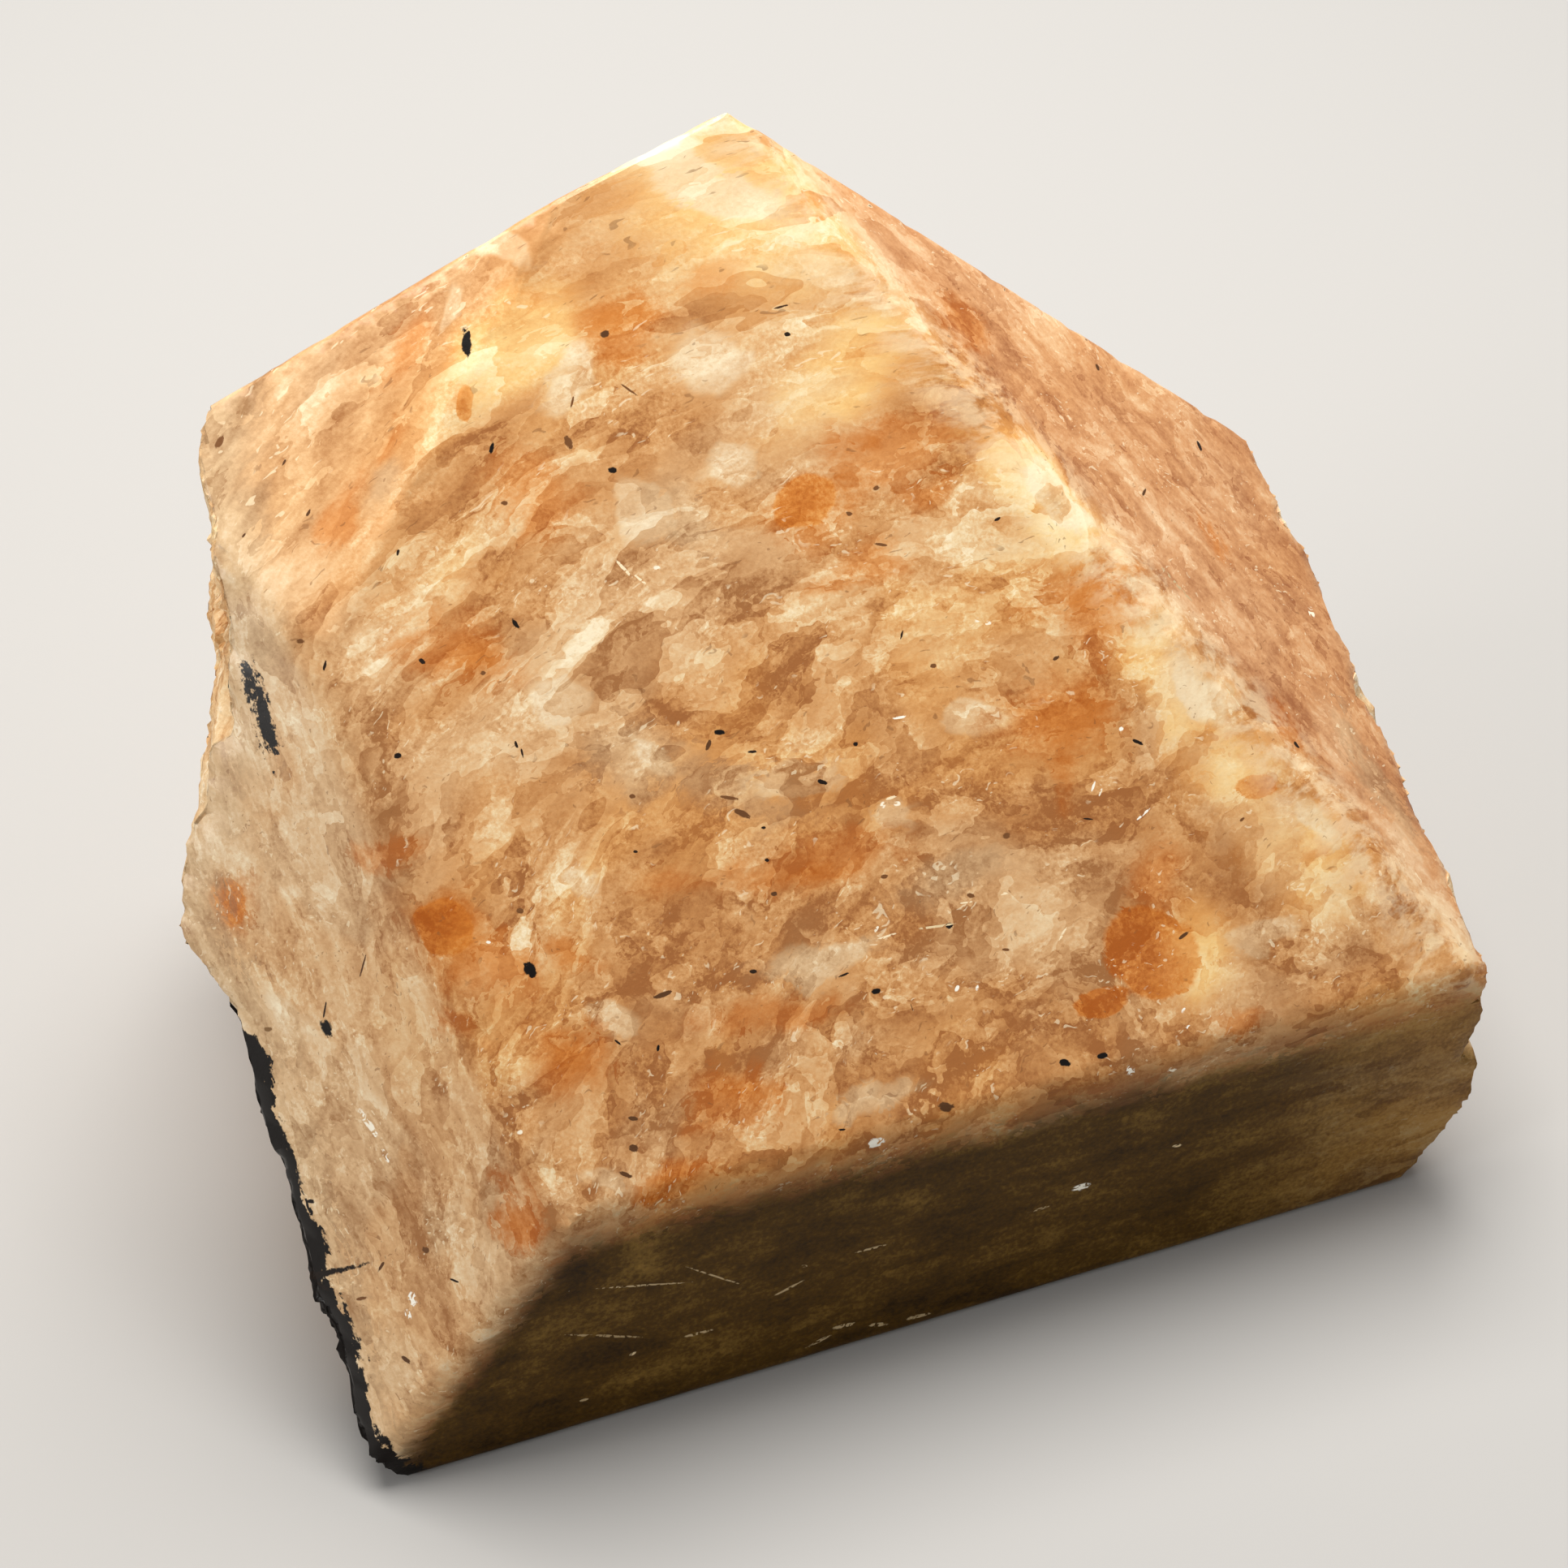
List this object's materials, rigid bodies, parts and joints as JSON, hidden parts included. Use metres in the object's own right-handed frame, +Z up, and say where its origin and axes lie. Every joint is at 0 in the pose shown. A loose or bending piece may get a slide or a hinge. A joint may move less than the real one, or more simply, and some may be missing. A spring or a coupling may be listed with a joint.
{
  "type": "sunstone",
  "caption": "Cut-base sunstone: a natural block of orange feldspar, sawn flat below, with polished faces rising to a point and broken rock at its sides and back",
  "frame": {"origin": "middle of the stone's plan, on the flat sawn base that it rests on", "axes": "+Z up; +X to the right along the flat front wall; +Y to the back, so the flat front wall faces -Y"},
  "size_m": [0.0662, 0.0456, 0.0532],
  "materials": {
    "feldspar": "polished peach and orange feldspar with cream, brown and black grains, dull where the rock is broken"
  },
  "bodies": {
    "root": {"sunstone": "feldspar"}
  },
  "joints": []
}
